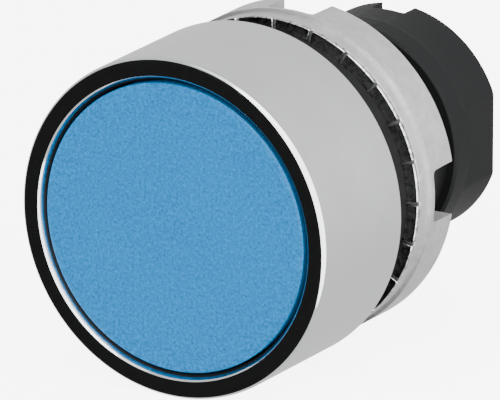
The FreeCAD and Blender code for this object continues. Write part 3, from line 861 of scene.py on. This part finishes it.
def tooth_block(inner, outer, front, back, sector, gap, steps=6):
    """Points and faces of a block bent round the axis, straight up from it, with half a gap each side."""
    points = []
    for radius, depth in ((inner, front), (outer, front), (outer, back), (inner, back)):
        half_angle = sector / 2 - math.asin(gap / 2 / radius)
        points += [place(radius, depth, half_angle * (2 * k / steps - 1)) for k in range(steps + 1)]
    row = steps + 1
    faces = []
    for side in range(4):
        after = (side + 1) % 4
        faces += [(side * row + k, side * row + k + 1, after * row + k + 1, after * row + k)
                  for k in range(steps)]
    faces += [(0, row, 2 * row, 3 * row), (steps, row + steps, 2 * row + steps, 3 * row + steps)]
    return points, faces


class PUSHBUTTON_OT_washer(bpy.types.Operator):
    """Stamp the toothed washer, with the tongue that stops it turning"""
    bl_idname = "push_button.washer"
    bl_label = "Toothed washer"

    def execute(self, context):
        s = context.scene.push_button_head.washer
        outer, front, back = reach("tooth_washer"), front_of("tooth_washer"), back_of("tooth_washer")
        half_tongue = s.tongue_width / 2
        tongue = block((-half_tongue, FRONT + front, s.tongue_radius),
                       (half_tongue, FRONT + back, s.bore_radius + s.overlap))
        hoop = spin(rounded([
            (s.bore_radius, front, s.corner), (s.root_radius, front), (s.root_radius, back),
            (s.bore_radius, back, s.corner)], steps=2))
        plate = zinc_plate(s.plate, s.stain)
        piece = make_piece("toothed_washer", joined(hoop, tongue), [plate])
        shade(piece)
        sector = FULL_TURN / s.teeth
        tooth = make_piece("tooth", tooth_block(
            s.root_radius - s.tooth_root, outer, front, back, sector, s.gap), [plate])
        # half a sector round, so that a gap points straight up
        tooth.data.transform(Matrix.Rotation(sector / 2, 4, "Y"))
        shade(tooth, s.tooth_edge)
        grow(piece, polar_array_tree(), template=tooth, count=s.teeth, unevenness=s.unevenness,
             seed=7, material=plate)
        bpy.data.objects.remove(tooth)
        seat(piece, "washer", ["tooth_washer"])
        return {"FINISHED"}


def slot_offsets(half_width, corner, steps=5):
    """Places of the columns across a slot whose floor has rounded corners."""
    curve = [half_width - corner * (1 - math.sin(math.pi / 2 * k / steps)) for k in range(steps + 1)]
    flat = curve[0]
    return [-x for x in reversed(curve)] + [-flat / 3, flat / 3] + curve


def slot_floor(floor, half_width, corner):
    """Says how deep the slot's floor is at an offset from its middle."""
    def depth_at(offset):
        beyond = max(0.0, abs(offset) - (half_width - corner))
        return floor + corner - math.sqrt(max(0.0, corner ** 2 - beyond ** 2))
    return depth_at


def weigh_edges(piece, crisp_depth):
    """Marks the sharp edges to be softened, all but those of the low step at one depth."""
    work = bmesh.new()
    work.from_mesh(piece.data)
    weight = work.edges.layers.float.new("bevel_weight_edge")
    for edge in work.edges:
        at_step = all(abs(corner.co.y - FRONT - crisp_depth) < MERGE for corner in edge.verts)
        if edge.calc_face_angle(0.0) > SHARP and not at_step:
            edge[weight] = 1.0
    work.to_mesh(piece.data)
    work.free()


class PUSHBUTTON_OT_nut(bpy.types.Operator):
    """Cast the ring nut, with four wrench slots in its rear edge"""
    bl_idname = "push_button.nut"
    bl_label = "Ring nut"

    def execute(self, context):
        s = context.scene.push_button_head.nut
        outer, front, back = reach("ring_nut"), front_of("ring_nut"), back_of("ring_nut")
        rim = s.slot_floor - s.rim_margin
        outline = [
            (s.bore_radius, front), (s.collar_radius, front), (s.collar_radius, s.collar_depth),
            (outer, s.collar_depth), (outer, rim), (outer, back), (s.bore_radius, back),
            (s.bore_radius, rim)]
        half = s.slot_width / 2
        floor = slot_floor(s.slot_floor, half, s.slot_corner)
        shape = slotted(
            outline, [FULL_TURN * k / 4 for k in range(4)], half, slot_offsets(half, s.slot_corner),
            lambda radius, depth, offset: (radius, min(depth, floor(offset))), 44)
        piece = make_piece("slotted_ring_nut", shape, [cast_zinc(s.alloy)])
        weigh_edges(piece, s.collar_depth)
        shade(piece, s.edge, weighted=True)
        seat(piece, "nut", ["ring_nut"])
        return {"FINISHED"}


class PUSHBUTTON_OT_neck(bpy.types.Operator):
    """Mould the neck, with its flange, keyway and screw thread"""
    bl_idname = "push_button.neck"
    bl_label = "Threaded neck"

    def execute(self, context):
        s = context.scene.push_button_head.neck
        flange, front, back = reach("neck_body"), front_of("neck_body"), back_of("neck_body")
        gasket_front, seat_depth = front_of("panel_gasket"), back_of("panel_gasket")
        flange_back = front_of("bezel_lock_ring")
        pocket, bush = reach("seal_retainer"), reach("guide_bush")
        bush_front, bush_back = front_of("guide_bush"), back_of("guide_bush")
        length = back - s.end_chamfer - gasket_front
        rows = int(length / s.row)
        wall = [(s.radius, gasket_front + length * k / rows) for k in range(rows + 1)]
        outline = [
            (pocket, front), (flange, front), (flange, flange_back), (s.shoulder_radius, flange_back),
            (s.shoulder_radius, gasket_front), *wall, (s.radius - s.end_chamfer, back),
            (s.bore_radius, back), (s.bore_radius, bush_back), (bush, bush_back), (bush, bush_front),
            (pocket, bush_front)]
        half = s.keyway_width / 2

        def clip(radius, depth, offset):
            floor = math.hypot(s.keyway_floor, offset)
            return (min(radius, floor) if depth > seat_depth - MERGE else radius), depth

        plastic = black_polyamide(context.scene.push_button_head.rear.plastic)
        shape = slotted(outline, [0.0], half, [half * k / 4 for k in range(-4, 5)], clip, 200)
        piece = make_piece("threaded_neck", shape, [plastic])
        grow(piece, thread_tree(), radius=s.radius, pitch=s.pitch, depth=s.thread_depth,
             start=FRONT + seat_depth, end=FRONT + back + s.run_out, material=plastic)
        shade(piece)
        seat(piece, "housing", ["neck_body"])
        return {"FINISHED"}


class PUSHBUTTON_OT_rear_body(bpy.types.Operator):
    """Mould the rear sleeve, with its slots, flats and guide ribs"""
    bl_idname = "push_button.rear_body"
    bl_label = "Rear body"

    def execute(self, context):
        s = context.scene.push_button_head.rear
        outer, front, back = reach("rear_body"), front_of("rear_body"), back_of("rear_body")
        neck_back = back_of("neck_body")
        web_front, spring_bore = back_of("spring_seat"), reach("spring_seat")
        rim = s.slot_floor - s.slot_corner
        outline = [
            (spring_bore, front), (s.spigot_radius, front), (s.spigot_radius, neck_back),
            (s.waist_radius, neck_back), (s.waist_radius, s.sleeve_front),
            (s.edge_radius, s.sleeve_front), (outer, s.edge_depth), (outer, s.band_back),
            (outer, s.band_back + 2 * FINE), (s.rear_radius, s.taper_back), (s.rear_radius, rim),
            (s.rear_radius, back), (s.socket_radius, back), (s.socket_radius, rim),
            (s.socket_radius, s.web_back), (s.hole_radius, s.web_back), (s.hole_radius, web_front),
            (spring_bore, web_front)]
        half = s.slot_width / 2
        floor = slot_floor(s.slot_floor, half, s.slot_corner)
        points, faces = slotted(
            outline, [0.0, math.pi], half, slot_offsets(half, s.slot_corner),
            lambda radius, depth, offset: (radius, min(depth, floor(offset))), 96)
        for point in points:
            if point.y > FRONT + s.band_back + FINE and abs(point.x) > s.flat_distance:
                point.x = math.copysign(s.flat_distance, point.x)
        ribs = []
        for side in (-1, 1):
            near, far = sorted((side * s.rib_inner, side * (s.socket_radius + s.rib_root)))
            ribs.append(block((near, FRONT + s.web_back - s.rib_root / 2, -s.rib_width / 2),
                              (far, FRONT + s.rib_back, s.rib_width / 2)))
        plastic = black_polyamide(s.plastic)
        piece = make_piece("rear_sleeve", joined((points, faces), *ribs), [plastic])
        shade(piece, s.edge)
        seat(piece, "housing", ["rear_body"])
        return {"FINISHED"}


class PUSHBUTTON_OT_spring(bpy.types.Operator):
    """Wind the return spring to the length of its CAD node"""
    bl_idname = "push_button.spring"
    bl_label = "Return spring"

    def execute(self, context):
        s = context.scene.push_button_head.spring
        low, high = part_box("return_spring")
        steel = spring_steel()
        piece = make_piece("coil_spring", ([], []), [steel])
        grow(piece, spring_tree(), coil_radius=s.coil_radius, wire_radius=s.wire / 2, turns=s.turns,
             start=low.y + s.wire / 2, length=high.y - low.y - s.wire, material=steel)
        piece.data.shade_smooth()
        seat(piece, "housing", ["return_spring"])
        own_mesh(piece)
        return {"FINISHED"}


class PUSHBUTTON_OT_inside(bpy.types.Operator):
    """Finish the inner parts that keep their CAD shape"""
    bl_idname = "push_button.inside"
    bl_label = "Inner parts"

    def execute(self, context):
        washer = context.scene.push_button_head.washer
        # undyed acetal is a warm, slightly waxy white
        acetal = moulded(
            "natural_acetal", linear("#E4E2DA"), speckle=0.03, roughness=0.4, grain_mm=0.4, depth_mm=0.004)
        # nitrile seals are smooth, with a soft black sheen
        seal = moulded(
            "smooth_seal_rubber", linear("#262628"), speckle=0.1, roughness=0.55, grain_mm=0.3,
            depth_mm=0.006, gloss=0.3)
        steel = bpy.data.materials.get("oiled_spring_steel") or spring_steel()
        plate = bpy.data.materials.get("stained_zinc_plate") or zinc_plate(washer.plate, washer.stain)
        finishes = {
            "cap_carrier": acetal, "plunger": acetal, "actuator_plate": acetal, "guide_bush": acetal,
            "seal_retainer": acetal, "bezel_seal": seal, "wiper_seal": seal, "bumper_ring": seal,
            "bezel_lock_ring": steel, "rear_lock_ring": steel, "stem_clip": steel, "spring_seat": plate}
        for node, material in finishes.items():
            for material_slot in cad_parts[node].material_slots:
                material_slot.material = material
        return {"FINISHED"}


def glowing(name, colour, strength):
    """A plain emitting surface for what only lights or backs the object."""
    material, _, shader, _ = new_material(name, base_color=linear("#000000"), roughness=1.0)
    shader.inputs["Specular IOR Level"].default_value = 0.0
    shader.inputs["Emission Color"].default_value = linear(colour)
    shader.inputs["Emission Strength"].default_value = strength
    return material


def dome(name, towards, spread, distance, material, seen_by):
    """Part of a sphere round the object, seen only by one kind of ray. Spread is its half angle."""
    rows, columns = 24, 64
    points = [Vector((0, 0, distance))]
    for row in range(1, rows + 1):
        slope = spread * row / rows
        points += [distance * Vector((
            math.sin(slope) * math.cos(FULL_TURN * k / columns),
            math.sin(slope) * math.sin(FULL_TURN * k / columns), math.cos(slope)))
            for k in range(columns)]
    faces = [(0, 1 + k, 1 + (k + 1) % columns) for k in range(columns)]
    for row in range(rows - 1):
        first = 1 + row * columns
        faces += [(first + k, first + columns + k, first + columns + (k + 1) % columns,
                   first + (k + 1) % columns) for k in range(columns)]
    shell = make_piece(name, (points, faces), [material])
    shell.data.transform(towards.to_track_quat("Z", "Y").to_matrix().to_4x4())
    for kind in ("camera", "diffuse", "glossy", "transmission", "volume_scatter", "shadow"):
        setattr(shell, "visible_" + kind, kind == seen_by)


class PUSHBUTTON_OT_stage(bpy.types.Operator):
    """Set out the floor, the lights and the camera"""
    bl_idname = "push_button.stage"
    bl_label = "Floor, lights and camera"

    def execute(self, context):
        s = context.scene.push_button_head.studio
        floor_height = CAD_BOX[0].z - 5 * FINE
        half = s.floor_size / 2
        floor = make_piece("floor", ([Vector((x, y, floor_height)) for x, y in (
            (-half, -half), (half, -half), (half, half), (-half, half))], [(0, 1, 2, 3)]), [])
        material, tree, shader, where = new_material("pale_floor", roughness=0.9)
        cloud = add(tree, "ShaderNodeTexNoise", {"Vector": where, "Scale": cell(40), "Detail": 3.0})
        tone = add(tree, "ShaderNodeMapRange", {
            "Value": cloud.outputs[0], "To Min": 0.99, "To Max": 1.0})
        colouring = add(tree, "ShaderNodeVectorMath", {0: s.floor[:3], "Scale": tone.outputs[0]},
                        operation="SCALE")
        tree.links.new(colouring.outputs[0], shader.inputs["Base Color"])
        shader.inputs["Emission Color"].default_value = s.floor
        shader.inputs["Emission Strength"].default_value = s.glow
        floor.data.materials.append(material)
        floor.visible_glossy = floor.visible_diffuse = False

        world = bpy.data.worlds.new("studio")
        context.scene.world = world
        world.use_nodes = True
        sky = next(n for n in world.node_tree.nodes if n.type == "BACKGROUND")
        sky.inputs["Color"].default_value = linear("#FFFFFF")
        sky.inputs["Strength"].default_value = s.ambient

        back = Vector((math.sin(s.azimuth) * math.cos(s.elevation),
                       -math.cos(s.azimuth) * math.cos(s.elevation), math.sin(s.elevation)))
        mirrored = Vector((-back.x, back.y, -back.z))  # where the flat front ring's reflection points
        dome("backdrop", Vector((0, 0, 1)), math.radians(150), 2.0,
             glowing("backdrop_white", "#FFFFFF", s.glow + s.ambient), "camera")
        dome("dark_card", mirrored, math.radians(56), 0.9,
             glowing("card_black", "#FFFFFF", s.dark_card), "glossy")
        # it lights the rounded edges that face up and to the right, and stays off the satin side
        dome("white_card", Vector((0.82, -0.5, 0.3)), math.radians(58), 0.8,
             glowing("card_white", "#FFFFFF", s.white_card), "glossy")

        light = bpy.data.lights.new("top_softbox", "AREA")
        light.shape, light.size, light.energy = "SQUARE", s.softbox_size, s.softbox_power
        holder = bpy.data.objects.new("top_softbox", light)
        holder.location = (0.15, -0.25, 0.6)
        holder.rotation_euler = (-holder.location).to_track_quat("-Z", "Y").to_euler()
        context.scene.collection.objects.link(holder)

        aim = Vector((0.0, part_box("bezel")[1].y, -s.aim_drop))
        camera = bpy.data.objects.new("camera", bpy.data.cameras.new("camera"))
        camera.data.lens = s.lens
        camera.location = aim + back * s.distance
        camera.rotation_euler = (-back).to_track_quat("-Z", "Y").to_euler()
        context.scene.collection.objects.link(camera)
        context.scene.camera = camera
        return {"FINISHED"}


class PUSHBUTTON_PT_panel(bpy.types.Panel):
    """Lists what builds the operator head"""
    bl_idname = "PUSHBUTTON_PT_panel"
    bl_label = "Push button"
    bl_space_type = "VIEW_3D"
    bl_region_type = "UI"
    bl_category = "Push button"

    def draw(self, context):
        for operator in OPERATORS:
            self.layout.operator(operator.bl_idname)


SETTINGS = (BezelSettings, CapSettings, GasketSettings, WasherSettings, NutSettings, NeckSettings,
            RearSettings, SpringSettings, StudioSettings, HeadSettings)
OPERATORS = (PUSHBUTTON_OT_bezel, PUSHBUTTON_OT_cap, PUSHBUTTON_OT_gasket, PUSHBUTTON_OT_washer,
             PUSHBUTTON_OT_nut, PUSHBUTTON_OT_neck, PUSHBUTTON_OT_rear_body, PUSHBUTTON_OT_spring,
             PUSHBUTTON_OT_inside, PUSHBUTTON_OT_stage)


def register():
    for item in (*SETTINGS, *OPERATORS, PUSHBUTTON_PT_panel):
        bpy.utils.register_class(item)
    bpy.types.Scene.push_button_head = bpy.props.PointerProperty(type=HeadSettings)


def unregister():
    del bpy.types.Scene.push_button_head
    for item in reversed((*SETTINGS, *OPERATORS, PUSHBUTTON_PT_panel)):
        bpy.utils.unregister_class(item)


def main():
    register()
    for operator in OPERATORS:
        family, name = operator.bl_idname.split(".")
        getattr(getattr(bpy.ops, family), name)()


if __name__ == "__main__":
    main()
